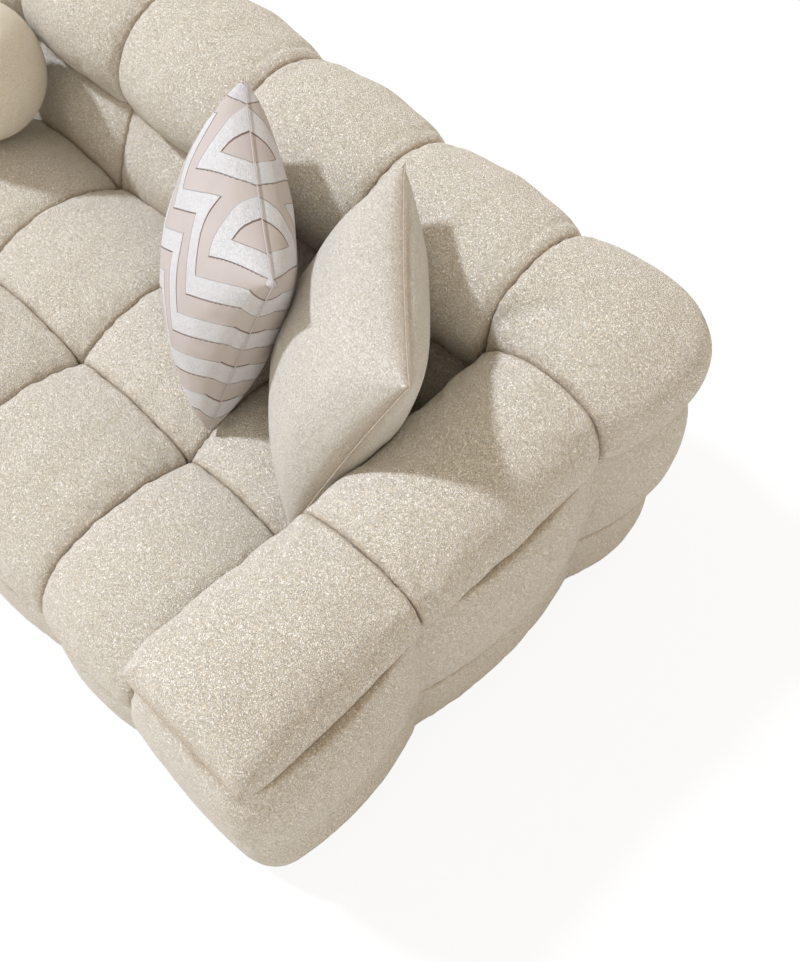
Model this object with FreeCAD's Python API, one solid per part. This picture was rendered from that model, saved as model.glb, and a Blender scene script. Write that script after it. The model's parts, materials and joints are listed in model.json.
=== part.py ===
import FreeCAD, Part
import math
import os

os.makedirs("parts", exist_ok=True)
V = FreeCAD.Vector

# A tuxedo sofa: the arms and the back stand at about one height and every face is tufted.
# Millimetres, +Z up, +X to the sitter's left hand, the front faces -Y.
# The origin is on the floor, under the middle of the sofa's outline.

# Seat and plan
columns = 5
column_pitch = 340.0
rear_row_depth = 367.0
front_row_depth = 373.0
wall_setback = 73.0
arm_thickness = 266.0
frame_depth_in_wall = 225.0
core_start_in_wall = 65.0
row_line_y = -178.0

# Levels above the floor
cover_bottom_z = 30.0
frame_bottom_z = 45.0

# Heights above the level below: seat tufts over the platform, the wall seam over the tufts
seat_tuft_rise = 109.0
junction_drop = 10.0
wall_seam_rise = 186.0

# Pairs give a size along a seam and in the middle of a puff.
# Rises of the seat over its tufts: crest, groove between the rows, line at the back's foot
seat_crest_rise = (64.0, 97.0)
row_groove_rise = (0.0, 56.0)
junction_rise = (0.0, 45.0)

# Front puffs: crest, shoulder and roll, measured in from the row seam or the front seam
front_crest_in = (160.0, 150.0)
front_crest_rise = (45.0, 88.0)
front_shoulder_in = (83.0, 71.0)
front_shoulder_rise = (23.0, 58.0)
front_roll_in = (21.0, -6.0)
front_roll_drop = (36.0, 12.0)
front_lip = (0.0, 20.0)

# Inner face of the walls: how far its top and its bulge stand out or in, and the bulge's height
inner_face_top = (15.0, 4.0)
inner_face_bulge = (-28.0, -53.0)
inner_face_bulge_rise = (113.0, 127.0)
mitre_seam_in = 29.2
arm_pad_stations = ((0.0, 0.0), (0.05, 0.45), (0.2, 0.82), (0.5, 1.0), (0.8, 0.85), (0.95, 0.6),
                    (1.0, 0.4))

# Wall tops: crest of the tufted seam over the wall seam, from the arm's front to the back
arm_front_crest_rise = 91.0
arm_rear_crest_rise = 137.0
back_crest_rise = 201.0
wall_crown = (0.0, 31.0)
top_start = (10.0, 2.0)
inner_shoulder = (40.0, 10.0)
top_crest = (152.0, 150.0)
outer_shoulder = (-24.0, 9.0)
outer_bulge = (4.0, 56.0)
outer_foot = (0.0, 30.0)
back_inner_bulge = (-6.0, 44.0)
arm_inner_bulge = (-6.0, 34.0)
arm_puff_share = 0.4

# The same section's heights as shares of the crest's height over the wall seam
inner_bulge_share = (0.42, 0.40)
inner_shoulder_share = (0.76, 0.95)
outer_shoulder_share = (0.83, 0.94)
outer_bulge_share = (0.45, 0.48)

# Arm's front end, where its top puff has run down to the wall seam
nose_inset = (26.0, 27.0, 45.0)
nose_rise = (8.0, 16.0, 24.0)
nose_outer_inset = (20.0, 2.0)
nose_stations = ((0.76, 0.98), (0.88, 0.88), (0.955, 0.62), (1.0, 0.12))

# Corner puffs: angle round the inner corner, fullness and reach
corner_stations = ((0, 0.0, 1.0), (5, 0.5, 1.02), (16, 0.85, 1.07), (30, 1.0, 1.185),
                   (45, 1.0, 1.265), (60, 1.0, 1.185), (74, 0.85, 1.07), (85, 0.5, 1.02),
                   (90, 0.0, 1.0))
corner_start = (10.0, 7.0)
corner_shoulder = 30.0
corner_shoulder_drop = 10.0

# Outer bands: how far they stand out of the frame at a seam and in the middle of a puff
pad_at_hem = (35.0, 62.0)
pad_low = (45.0, 80.0)
pad_at_band_seam = (42.0, 72.0)
pad_high = (55.0, 103.0)
pad_at_wall_seam = (41.0, 70.0)
front_pad_share = 0.65
band_corner_radius = 145.0
band_front_radius = 70.0
band_corner_ease = 2.0
front_side_swell = 6.0
front_end_run = 120.0
front_end_ease = 14.0
front_seam_share = 0.95
front_face_lean = (8.0, -27.0, 8.0, 12.0)
band_roll_share = 0.1

# Timber frame
rail_thickness = 30.0
rail_height = 150.0
front_frame_inset = 28.0
wall_post = 40.0
post_width = 60.0
top_rail_height = 40.0
cross_rail_width = 60.0
cross_rail_height = 60.0
cross_rail_place = 510.0
block_side = 110.0
block_height = 40.0
seat_rail_depth = 40.0

# Springs, platform and feet
spring_count = 9
spring_wire = 3.8
spring_bar = 44.0
spring_step = 26.0
spring_play = 0.2
clip_size = (24.0, 22.0, 3.0)
clip_hold = 13.2
platform_thickness = 4.0
dust_cover_thickness = 1.2
foot_radius = 27.0
foot_top_radius = 32.0
foot_inset = 62.0
screw_radius = 3.0
screw_length = 30.0
screw_head_radius = 6.5
screw_head_height = 3.0
screw_recess = 12.0
screw_head_level = 9.0

# Loose cushions
soft_gap = 0.3
cushion_hem = 9.0
cushion_draw_in = 0.045
least_bulge = 0.5
patterned_side = 455.0
patterned_thickness = 146.0
plain_side = 468.0
plain_thickness = 156.0
ball_radius = 152.0

# Where the loose cushions lie: from the arm, from the back and above the seat's tufts
patterned_from_arm = 446.0
patterned_from_back = 203.0
patterned_rise = 303.5
patterned_heading = -34.5
patterned_lean = 20.5
patterned_roll = 5.0
plain_from_arm = 142.0
plain_from_back = 193.0
plain_rise = 301.0
plain_heading = -44.7
plain_lean = 26.7
ball_from_arm = 1302.0
ball_from_back = 185.4
ball_rise = 234.8

# Places that follow from the sizes above
half_inner = columns * column_pitch / 2.0
half_seat = half_inner - wall_setback
wall_inner_y = row_line_y + rear_row_depth + wall_setback
seat_rear_y = row_line_y + rear_row_depth
front_seam_y = row_line_y - front_row_depth
frame_front_y = front_seam_y + front_frame_inset
frame_back_y = wall_inner_y + frame_depth_in_wall
frame_half = half_inner + frame_depth_in_wall
core_inner_x = half_inner + core_start_in_wall
core_inner_y = wall_inner_y + core_start_in_wall
rail_top_z = frame_bottom_z + rail_height
platform_z = rail_top_z + clip_size[2] + spring_play + spring_wire
band_seam_z = platform_z + platform_thickness
seat_tuft_z = band_seam_z + seat_tuft_rise
seat_junction_z = seat_tuft_z - junction_drop
wall_seam_z = seat_tuft_z + wall_seam_rise
crown_stations = (0.0, 0.05, 0.18, 0.5, 0.82, 0.95, 1.0)


def fullness(t):
    """How full a puff is at the share t of the way from one seam to the next."""
    return math.sqrt(max(0.0, 1.0 - (2.0 * t - 1.0) ** 2))


def mix(a, b, t):
    return tuple(p + (q - p) * t for p, q in zip(a, b))


def mix_profile(seam, full, t):
    return [tuple(mix(p, q, t) for p, q in zip(step, other)) for step, other in zip(seam, full)]


def outline(profile, place):
    """A closed wire: the first step is the start, one point is a line, two points an arc."""
    here = V(*place(*profile[0][0]))
    first = here
    edges = []
    for step in profile[1:]:
        there = V(*place(*step[-1]))
        if len(step) == 1:
            edges.append(Part.LineSegment(here, there).toShape())
        else:
            edges.append(Part.Arc(here, V(*place(*step[0])), there).toShape())
        here = there
    edges.append(Part.LineSegment(here, first).toShape())
    return Part.Wire(edges)


def loft(wires):
    return Part.makeLoft(wires, True, False)


def box(x0, x1, y0, y1, z0, z1):
    return Part.makeBox(x1 - x0, y1 - y0, z1 - z0, V(x0, y0, z0))


def mirrored(shape):
    return shape.mirror(V(0, 0, 0), V(1, 0, 0))


def save(name, shapes):
    """Writes one node: a single solid, or a group of separate solids."""
    solids = [solid for shape in shapes for solid in shape.Solids]
    shape = solids[0] if len(solids) == 1 else Part.makeCompound(solids)
    shape.exportStep("parts/" + name + ".step")
    print(name, len(solids), round(shape.Volume / 1000.0), shape.isValid())


def save_pair(name, shapes):
    save(name + "_right", shapes)
    save(name + "_left", [mirrored(shape) for shape in shapes])


def column_lines():
    """Column seams of the walls, left to right."""
    return [-half_inner + i * column_pitch for i in range(columns + 1)]


def seat_lines():
    """Column seams of the seat, which ends at the foot of the leaning arms."""
    lines = column_lines()
    return [max(-half_seat, min(half_seat, x)) for x in lines]


def lofted_columns(seam, full, x0, x1):
    """A puff between two column seams, from its profile at a seam and in the middle."""
    wires = []
    for t in crown_stations:
        x = x0 + (x1 - x0) * t
        profile = mix_profile(seam, full, fullness(t))
        wires.append(outline(profile, lambda y, z, x=x: (x, y, z)))
    return loft(wires)


# Seat puffs. Each section comes in two kinds: 0 along a seam, 1 in the middle of a puff.
def rear_seat_section(kind):
    y0, y1 = row_line_y, seat_rear_y
    crest = ((y0 + y1) / 2.0, seat_tuft_z + seat_crest_rise[kind])
    junction = (y1, seat_junction_z + junction_rise[kind])
    return [((y1, band_seam_z),), ((y0, band_seam_z),),
            ((y0, seat_tuft_z + row_groove_rise[kind]),), (crest, junction)]


def front_seat_section(kind):
    """The front row rolls over the front edge down to the band seam."""
    y0, y1 = row_line_y, front_seam_y
    crest = (y0 - front_crest_in[kind], seat_tuft_z + front_crest_rise[kind])
    shoulder = (y1 + front_shoulder_in[kind], seat_tuft_z + front_shoulder_rise[kind])
    roll = (y1 + front_roll_in[kind], seat_tuft_z - front_roll_drop[kind])
    lip = (y1 - front_lip[kind], band_seam_z)
    return [((y0, band_seam_z),), ((y0, seat_tuft_z + row_groove_rise[kind]),),
            (crest, shoulder), (roll, lip)]


def rear_seat_puff(x0, x1):
    return lofted_columns(rear_seat_section(0), rear_seat_section(1), x0, x1)


def front_seat_puff(x0, x1):
    return lofted_columns(front_seat_section(0), front_seat_section(1), x0, x1)


def make_seat():
    lines = seat_lines()
    for i in range(columns):
        save("seat_rear_puff_%d" % (i + 1), [rear_seat_puff(lines[i], lines[i + 1])])
        save("seat_front_puff_%d" % (i + 1), [front_seat_puff(lines[i], lines[i + 1])])


# Walls: sections are (r, z), r measured outwards from the inner edge of the arm or back
def inner_face_section(kind):
    """The leaning inner face of a wall, from the seat up to the wall seam."""
    foot = -wall_setback
    bulge = (inner_face_bulge[kind], seat_junction_z + inner_face_bulge_rise[kind])
    return [((core_start_in_wall, band_seam_z),), ((core_start_in_wall, wall_seam_z),),
            ((inner_face_top[kind], wall_seam_z),),
            (bulge, (foot, seat_junction_z + junction_rise[kind])), ((foot, band_seam_z),)]


def lower_profiles():
    return inner_face_section(0), inner_face_section(1)


def top_section(kind, crest_rise, inner_bulge):
    """The roll over the top of a wall, from its inner seam to its outer seam."""
    out = arm_thickness

    def level(share):
        return wall_seam_z + share[kind] * crest_rise

    return [((top_start[kind], wall_seam_z),),
            ((-inner_bulge[kind], level(inner_bulge_share)),
             (inner_shoulder[kind], level(inner_shoulder_share))),
            ((top_crest[kind], wall_seam_z + crest_rise + wall_crown[kind]),
             (out + outer_shoulder[kind], level(outer_shoulder_share))),
            ((out + outer_bulge[kind], level(outer_bulge_share)),
             (out + outer_foot[kind], wall_seam_z))]


def top_profiles(crest_rise, inner_bulge):
    return top_section(0, crest_rise, inner_bulge), top_section(1, crest_rise, inner_bulge)


def back_place(x):
    return lambda r, z: (x, wall_inner_y + r, z)


def arm_place(y):
    return lambda r, z: (half_inner + r, y, z)


def mitre_tool():
    """The half of space behind the upright 45 degree plane through the inner corner."""
    far = 2000.0
    corners = [V(half_inner - far, wall_inner_y - far, 0), V(half_inner + far, wall_inner_y + far, 0),
               V(half_inner - far, wall_inner_y + far, 0)]
    face = Part.Face(Part.makePolygon(corners + corners[:1]))
    return face.extrude(V(0, 0, far))


def lower_back_puff(x0, x1):
    seam, full = lower_profiles()
    wires = []
    for t in crown_stations:
        profile = mix_profile(seam, full, fullness(t))
        wires.append(outline(profile, back_place(x0 + (x1 - x0) * t)))
    return loft(wires)


def end_lower_back_puff(x0):
    """The last puff meets the arm's inner pad on a mitre."""
    seam, full = lower_profiles()
    x_seam = half_inner - mitre_seam_in
    wires = []
    for t in crown_stations:
        profile = mix_profile(seam, full, fullness(t))
        wires.append(outline(profile, back_place(x0 + (x_seam - x0) * t)))
    body = loft(wires)
    tail = loft([outline(seam, back_place(x_seam)), outline(seam, back_place(core_inner_x))])
    return body.fuse(tail).removeSplitter().common(mitre_tool())


def inner_arm_pads():
    """Front and middle pads of the arm's inner face."""
    seam, full = lower_profiles()
    length = row_line_y - frame_front_y
    front = loft([outline(mix_profile(seam, full, share), arm_place(row_line_y - length * t))
                  for t, share in arm_pad_stations])
    y_seam = wall_inner_y - mitre_seam_in
    middle = loft([outline(mix_profile(seam, full, fullness(t)),
                           arm_place(row_line_y + (y_seam - row_line_y) * t))
                   for t in crown_stations])
    tail = loft([outline(seam, arm_place(y_seam)), outline(seam, arm_place(core_inner_y))])
    middle = middle.fuse(tail).removeSplitter().cut(mitre_tool())
    return [front, middle]


def make_lower_walls():
    lines = column_lines()
    for i in range(columns):
        name = "back_lower_puff_%d" % (i + 1)
        if i == 0:
            save(name, [mirrored(end_lower_back_puff(lines[-2]))])
        elif i == columns - 1:
            save(name, [end_lower_back_puff(lines[i])])
        else:
            save(name, [lower_back_puff(lines[i], lines[i + 1])])
    save_pair("arm_inner_pads", inner_arm_pads())


def back_top_puff(x0, x1):
    seam, full = top_profiles(back_crest_rise, back_inner_bulge)
    return loft([outline(mix_profile(seam, full, fullness(t)), back_place(x0 + (x1 - x0) * t))
                 for t in crown_stations])


def arm_middle_top_puff():
    wires = []
    for t in crown_stations:
        crest = arm_front_crest_rise + (arm_rear_crest_rise - arm_front_crest_rise) * t
        seam, full = top_profiles(crest, arm_inner_bulge)
        y = row_line_y + (wall_inner_y - row_line_y) * t
        share = arm_puff_share * fullness(t)
        wires.append(outline(mix_profile(seam, full, share), arm_place(y)))
    return loft(wires)


def arm_front_top_puff():
    """The arm's front end rounds over and down to the wall seam."""
    seam, full = top_profiles(arm_front_crest_rise, arm_inner_bulge)
    full = mix_profile(seam, full, arm_puff_share)
    low_z, side_z, crown_z = [wall_seam_z + rise for rise in nose_rise]
    shoulder, foot = [arm_thickness - inset for inset in nose_outer_inset]
    low = [((nose_inset[0], wall_seam_z),), ((nose_inset[1], low_z), (nose_inset[2], side_z)),
           ((top_crest[1], crown_z), (shoulder, side_z)),
           ((foot, low_z), (arm_thickness, wall_seam_z))]
    end_y = frame_front_y - front_pad_share * pad_at_wall_seam[1]
    length = row_line_y - end_y
    rear = [(t, mix_profile(seam, full, fullness(t))) for t in crown_stations[:4]]
    front = [(t, mix_profile(low, full, share)) for t, share in nose_stations]
    return loft([outline(profile, arm_place(row_line_y - length * t)) for t, profile in rear + front])


def corner_top_puff():
    """Profiles turned about the inner corner, reaching further on the diagonal."""
    wires = []
    for angle, share, reach in corner_stations:
        crest = arm_rear_crest_rise + (back_crest_rise - arm_rear_crest_rise) * angle / 90.0
        seam, full = top_profiles(crest, arm_inner_bulge)
        full[0] = ((corner_start[0], wall_seam_z),)
        full[1] = ((corner_start[1], wall_seam_z + outer_bulge_share[0] * crest),
                   (corner_shoulder, wall_seam_z + crest - corner_shoulder_drop))
        c, s = math.cos(math.radians(angle)), math.sin(math.radians(angle))

        def place(r, z, c=c, s=s, reach=reach):
            return (half_inner + r * reach * c, wall_inner_y + r * reach * s, z)

        wires.append(outline(mix_profile(seam, full, share), place))
    return loft(wires)


def make_wall_tops():
    lines = column_lines()
    for i in range(columns):
        save("back_top_puff_%d" % (i + 1), [back_top_puff(lines[i], lines[i + 1])])
    save_pair("corner_top_puff", [corner_top_puff()])
    save_pair("arm_middle_top_puff", [arm_middle_top_puff()])
    save_pair("arm_front_top_puff", [arm_front_top_puff()])


# Outer bands
def band_levels(low, middle, high, z0, z1):
    """Stations up a band: height and how far the seam and the puff stand out."""
    lift = band_roll_share * (z1 - z0)
    near_low = mix(low, middle, 0.5)
    near_high = mix(high, middle, 0.5)
    return [(z0, low), (z0 + lift, near_low), ((z0 + z1) / 2.0, middle),
            (z1 - lift, near_high), (z1, high)]


def bottom_levels():
    return band_levels(pad_at_hem, pad_low, pad_at_band_seam, cover_bottom_z, band_seam_z)


def middle_levels():
    return band_levels(pad_at_band_seam, pad_high, pad_at_wall_seam, band_seam_z, wall_seam_z)


def straight_band(levels, a, b, place):
    """A band puff along a wall between seams a and b; place maps (along, out, z)."""
    wires = []
    for z, (seam, full) in levels:
        profile = [((a, 0.0),), ((a, seam),), (((a + b) / 2.0, full), (b, seam)), ((b, 0.0),)]
        wires.append(outline(profile, lambda u, v, z=z: place(u, v, z)))
    return loft(wires)


def rear_corner_band(levels):
    """Wraps the rear corner from the side's last seam to the back's last seam."""
    wires = []
    radius = band_corner_radius
    inset = radius * (1.0 - math.sqrt(0.5))
    for z, (seam, full) in levels:
        x0, y0 = half_inner, wall_inner_y
        xs, ys = frame_half + seam, frame_back_y + seam
        xf, yf = frame_half + full, frame_back_y + full
        ease = (full - seam) / 4.0
        side_middle = (xf - ease, (y0 + yf - radius) / 2.0)
        back_middle = ((x0 + xf - radius) / 2.0, yf - ease)
        profile = [((frame_half, y0),), ((xs, y0),), (side_middle, (xf, yf - radius)),
                   ((xf - inset, yf - inset), (xf - radius, yf)), (back_middle, (x0, ys)),
                   ((x0, frame_back_y),), ((frame_half, frame_back_y),)]
        wires.append(outline(profile, lambda x, y, z=z: (x, y, z)))
    return loft(wires)


def front_corner_band(levels, inner_ends):
    """Wraps the arm's front from the side's first seam to the arm's inner face."""
    wires = []
    radius = band_front_radius
    inset = radius * (1.0 - math.sqrt(0.5))
    for (z, (seam, full)), x_end in zip(levels, inner_ends):
        xs, xf = frame_half + seam, frame_half + full
        xc = xf - band_corner_ease
        yf = frame_front_y - front_pad_share * full
        side_middle = (xf + front_side_swell, (row_line_y + yf + radius) / 2.0)
        profile = [((frame_half, row_line_y),), ((xs, row_line_y),), (side_middle, (xc, yf + radius)),
                   ((xc - inset, yf + inset), (xc - radius, yf)),
                   ((x_end + front_end_run, yf), (x_end, yf + front_end_ease)),
                   ((x_end, frame_front_y),), ((frame_half, frame_front_y),)]
        wires.append(outline(profile, lambda x, y, z=z: (x, y, z)))
    return loft(wires)


def side_place(along, out, z):
    return (frame_half + out, along, z)


def rear_place(along, out, z):
    return (along, frame_back_y + out, z)


def front_place(along, out, z):
    return (along, frame_front_y - out, z)


def side_band(levels, inner_ends):
    return [front_corner_band(levels, inner_ends),
            straight_band(levels, row_line_y, wall_inner_y, side_place),
            rear_corner_band(levels)]


def back_band(levels):
    lines = column_lines()
    return [straight_band(levels, a, b, rear_place) for a, b in zip(lines, lines[1:])]


def front_band(levels):
    lines = seat_lines()
    slim = [(z, (front_frame_inset * front_seam_share, front_pad_share * full))
            for z, (seam, full) in levels]
    return [straight_band(slim, a, b, front_place) for a, b in zip(lines, lines[1:])]


def make_bands():
    foot = half_inner - wall_setback
    upright = [foot] * len(bottom_levels())
    leaning = [foot, foot + front_face_lean[0]] + [half_inner + r for r in front_face_lean[1:]]
    save_pair("side_bottom_band", side_band(bottom_levels(), upright))
    save_pair("side_middle_band", side_band(middle_levels(), leaning))
    save("back_bottom_band", back_band(bottom_levels()))
    save("back_middle_band", back_band(middle_levels()))
    save("front_bottom_band", front_band(bottom_levels()))


# Timber frame
def foot_places():
    y0 = frame_front_y + foot_inset
    y1 = frame_back_y - foot_inset
    x = frame_half - foot_inset - rail_thickness
    return [(fx, fy) for fx in (-x, 0.0, x) for fy in (y0, y1)]


def with_pilot_holes(shape):
    """Bores for the foot screws, where a foot stands under the timber."""
    for x, y in foot_places():
        shape = shape.cut(Part.makeCylinder(screw_radius, frame_bottom_z + screw_length,
                                            V(x, y, 0), V(0, 0, 1)))
    return shape


def make_base_frame():
    z0, z1 = frame_bottom_z, rail_top_z
    t = rail_thickness
    inner_x = frame_half - t
    save("base_front_rail", [box(-frame_half, frame_half, frame_front_y, frame_front_y + t, z0, z1)])
    save("base_back_rail", [box(-frame_half, frame_half, frame_back_y - t, frame_back_y, z0, z1)])
    side = box(inner_x, frame_half, frame_front_y + t, frame_back_y - t, z0, z1)
    save_pair("base_side_rail", [side])
    half_width = cross_rail_width / 2.0
    cross = []
    for x in (-cross_rail_place, 0.0, cross_rail_place):
        rail = box(x - half_width, x + half_width, frame_front_y + t, frame_back_y - t,
                   z0, z0 + cross_rail_height)
        cross.append(with_pilot_holes(rail))
    save("base_cross_rails", cross)
    rail_y = core_inner_y - seat_rail_depth
    save("seat_rear_rail", [box(-inner_x, inner_x, rail_y, rail_y + seat_rail_depth,
                                z0 + cross_rail_height, z1)])
    blocks = []
    for y in (frame_front_y + t, frame_back_y - t - block_side):
        block = box(inner_x - block_side, inner_x, y, y + block_side, z0, z0 + block_height)
        block = with_pilot_holes(block)
        blocks += [block, mirrored(block)]
    save("corner_blocks", blocks)


def make_wall_frame():
    z0 = rail_top_z
    z1 = wall_seam_z - top_rail_height
    post_x = frame_half - wall_post
    posts = []
    for y in (frame_front_y, row_line_y, wall_inner_y):
        post = box(post_x, frame_half, y, y + post_width, z0, z1)
        posts += [post, mirrored(post)]
    save("arm_posts", posts)
    rail = box(post_x, frame_half, frame_front_y, frame_back_y - wall_post, z1, wall_seam_z)
    save("arm_top_rails", [rail, mirrored(rail)])
    half_width = post_width / 2.0
    xs = [-frame_half + half_width, -column_pitch, 0.0, column_pitch, frame_half - half_width]
    save("back_posts", [box(x - half_width, x + half_width, frame_back_y - wall_post, frame_back_y,
                            z0, z1) for x in xs])
    save("back_top_rail", [box(-frame_half, frame_half, frame_back_y - wall_post, frame_back_y,
                               z1, wall_seam_z)])


def make_foam():
    z0, z1 = band_seam_z, wall_seam_z
    post_x = frame_half - wall_post
    arm = box(core_inner_x, post_x, frame_front_y, core_inner_y, z0, z1)
    save_pair("arm_foam", [arm])
    save("back_foam", [box(-post_x, post_x, core_inner_y, frame_back_y - wall_post, z0, z1)])


# Seat suspension
def zigzag_spring(x, y0, y1, z):
    """One sinuous spring: bars across, joined by half-round bends."""
    radius = spring_step / 2.0
    half = spring_bar / 2.0 - radius
    bars = int((y1 - y0) / spring_step)
    y = y0 + (y1 - y0 - (bars - 1) * spring_step) / 2.0
    edges = []
    side = 1.0
    for i in range(bars):
        a = V(x - side * half, y, z)
        b = V(x + side * half, y, z)
        edges.append(Part.LineSegment(a, b).toShape())
        if i < bars - 1:
            middle = V(x + side * (half + radius), y + radius, z)
            there = V(x + side * half, y + spring_step, z)
            edges.append(Part.Arc(b, middle, there).toShape())
        side = -side
        y += spring_step
    path = Part.Wire(edges)
    start = edges[0].Vertexes[0].Point
    ring = Part.Wire(Part.Circle(start, V(1, 0, 0), spring_wire / 2.0).toShape())
    return path.makePipeShell([ring], True, False)


def make_suspension():
    y0 = frame_front_y + rail_thickness
    y1 = core_inner_y - seat_rail_depth
    z = platform_z - spring_wire / 2.0
    pitch = 2.0 * half_seat / spring_count
    width, length, thickness = clip_size
    springs, clips = [], []
    for i in range(spring_count):
        x = -half_seat + (i + 0.5) * pitch
        springs.append(zigzag_spring(x, y0 - clip_hold, y1 + clip_hold, z))
        for y in (y0 - length, y1):
            clips.append(box(x - width / 2.0, x + width / 2.0, y, y + length,
                             rail_top_z, rail_top_z + thickness))
    save("seat_springs", springs)
    save("spring_clips", clips)
    half_width = frame_half - wall_post
    save("seat_platform", [box(-half_width, half_width, frame_front_y, core_inner_y,
                               platform_z, band_seam_z)])


# Underside
def foot(x, y):
    cone = Part.makeCone(foot_radius, foot_top_radius, frame_bottom_z - dust_cover_thickness,
                         V(x, y, 0), V(0, 0, 1))
    bore = Part.makeCylinder(screw_radius, frame_bottom_z, V(x, y, 0), V(0, 0, 1))
    recess = Part.makeCylinder(screw_head_radius, screw_recess, V(x, y, 0), V(0, 0, 1))
    return cone.cut(bore).cut(recess)


def foot_screw(x, y):
    z = screw_head_level
    head = Part.makeCylinder(screw_head_radius - soft_gap, screw_head_height, V(x, y, z), V(0, 0, 1))
    shank = Part.makeCylinder(screw_radius - soft_gap, frame_bottom_z + screw_length - z,
                              V(x, y, z), V(0, 0, 1))
    return head.fuse(shank).removeSplitter()


def make_underside():
    places = foot_places()
    save("feet", [foot(x, y) for x, y in places])
    screws = [foot_screw(x, y) for x, y in places]
    save("foot_screws", screws)
    z0 = frame_bottom_z - dust_cover_thickness
    cover = box(-frame_half, frame_half, frame_front_y, frame_back_y, z0, frame_bottom_z)
    for x, y in places:
        cover = cover.cut(Part.makeCylinder(screw_radius, frame_bottom_z, V(x, y, 0), V(0, 0, 1)))
    save("dust_cover", [cover])


# Loose cushions
def square_cushion(side, thickness):
    """A crowned square pad about the origin, standing on its lower edge, face along -Y."""
    half = side / 2.0
    hem = cushion_hem / 2.0
    draw_in = cushion_draw_in * side
    wires = []
    for t in crown_stations:
        share = fullness(t)
        reach = half - draw_in * share
        bulge = hem + (thickness / 2.0 - hem) * share
        z = -half + side * t
        profile = [((-reach, -hem),), ((0.0, -bulge - least_bulge), (reach, -hem)),
                   ((reach, hem),), ((0.0, bulge + least_bulge), (-reach, hem))]
        wires.append(outline(profile, lambda x, y, z=z: (x, y, z)))
    pad = loft(wires)
    radius = (half ** 2 + draw_in ** 2) / (2.0 * draw_in)
    for sign in (-1.0, 1.0):
        centre = V(0, -side, sign * (half - draw_in + radius))
        pad = pad.cut(Part.makeCylinder(radius, 2.0 * side, centre, V(0, 1, 0)))
    return pad


def placed(shape, middle, heading, lean, roll):
    """Turns a cushion to its heading, leans its top backwards and moves its middle."""
    origin = V(0, 0, 0)
    moved = shape.copy()
    moved.rotate(origin, V(0, 1, 0), roll)
    moved.rotate(origin, V(1, 0, 0), -lean)
    moved.rotate(origin, V(0, 0, 1), heading)
    moved.translate(V(*middle))
    return moved


def patterned_cushion():
    """Leans on the back, its face towards the sofa's front left."""
    middle = (half_inner - patterned_from_arm, wall_inner_y - patterned_from_back,
              seat_tuft_z + patterned_rise)
    return placed(square_cushion(patterned_side, patterned_thickness), middle,
                  patterned_heading, patterned_lean, patterned_roll)


def plain_cushion():
    """Leans into the corner between the back and the arm."""
    middle = (half_inner - plain_from_arm, wall_inner_y - plain_from_back, seat_tuft_z + plain_rise)
    return placed(square_cushion(plain_side, plain_thickness), middle,
                  plain_heading, plain_lean, 0.0)


def ball_cushion():
    middle = V(half_inner - ball_from_arm, wall_inner_y - ball_from_back, seat_tuft_z + ball_rise)
    return Part.makeSphere(ball_radius, middle)


def make_cushions():
    save("patterned_cushion", [patterned_cushion()])
    save("plain_cushion", [plain_cushion()])
    save("ball_cushion", [ball_cushion()])


make_seat()
make_lower_walls()
make_wall_tops()
make_bands()
make_base_frame()
make_wall_frame()
make_foam()
make_suspension()
make_underside()
make_cushions()
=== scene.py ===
import json
import math
import bpy
import numpy as np
from mathutils import Matrix, Vector, noise
from mathutils.bvhtree import BVHTree


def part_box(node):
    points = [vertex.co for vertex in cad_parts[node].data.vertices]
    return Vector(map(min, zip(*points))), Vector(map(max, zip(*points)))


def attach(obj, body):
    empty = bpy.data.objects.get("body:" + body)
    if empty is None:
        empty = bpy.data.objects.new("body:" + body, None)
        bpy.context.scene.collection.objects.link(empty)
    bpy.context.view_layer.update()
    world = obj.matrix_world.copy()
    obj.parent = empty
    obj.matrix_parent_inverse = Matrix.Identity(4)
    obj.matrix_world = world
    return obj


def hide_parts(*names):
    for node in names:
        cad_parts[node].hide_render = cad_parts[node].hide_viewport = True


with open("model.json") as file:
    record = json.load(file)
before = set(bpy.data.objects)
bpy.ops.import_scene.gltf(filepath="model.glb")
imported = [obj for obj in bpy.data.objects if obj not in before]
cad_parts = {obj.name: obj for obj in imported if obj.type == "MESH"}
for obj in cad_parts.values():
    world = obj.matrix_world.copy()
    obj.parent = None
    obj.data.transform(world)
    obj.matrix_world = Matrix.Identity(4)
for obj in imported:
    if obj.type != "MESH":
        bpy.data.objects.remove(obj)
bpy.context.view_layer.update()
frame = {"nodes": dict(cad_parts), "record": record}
nodes = frame["nodes"]
record = frame["record"]
scene = bpy.context.scene

# Lengths are in metres. The sofa's covers are grown from the CAD solids and keep their seams.
# Grid of a cover, how far it starts inside its solid, and how it swells
cover_grid = 0.0110
cover_inset = 0.005
cover_slack = 0.012
cover_pressure = 4.0
cover_cap = 0.010
cover_uneven = (0.0012, 0.05)
simulation_frames = 18

# At its seams a cover is held: up to this depth, and then freer and freer
held_depth = 0.0035
free_depth = 0.004
free_blend = 0.03

# Flat sides of a solid: smallest area, how flat, and what counts as one plane
side_area = 0.002
side_flatness = 0.0006
side_same_way = 0.999
side_most = 12
side_way_steps = 50.0
side_place_steps = 500.0

# Seams: the gap between covers, the painted shade along it (a browner strip), and how its groove is
# filled
seam_gap = 0.0003
seam_shade_reach = 0.0045
seam_fill = 0.002
seam_snap = 0.0060
seam_fill_reach = 0.030
skin_share = (0.35, 0.6)
skin_sure = 0.9

# The arms' top puffs and the bands under them meet flush: each moves to the other near the seam
band_tuck = 0.001
puff_foot_fill = 0.010
arm_seam_height = 0.501
arm_seam_reach = (0.09, 0.055)
arm_seam_end = (0.10, 0.30)
arm_side_face = (1.0, 1.06)
arm_front_face = (0.44, 0.50)

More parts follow.
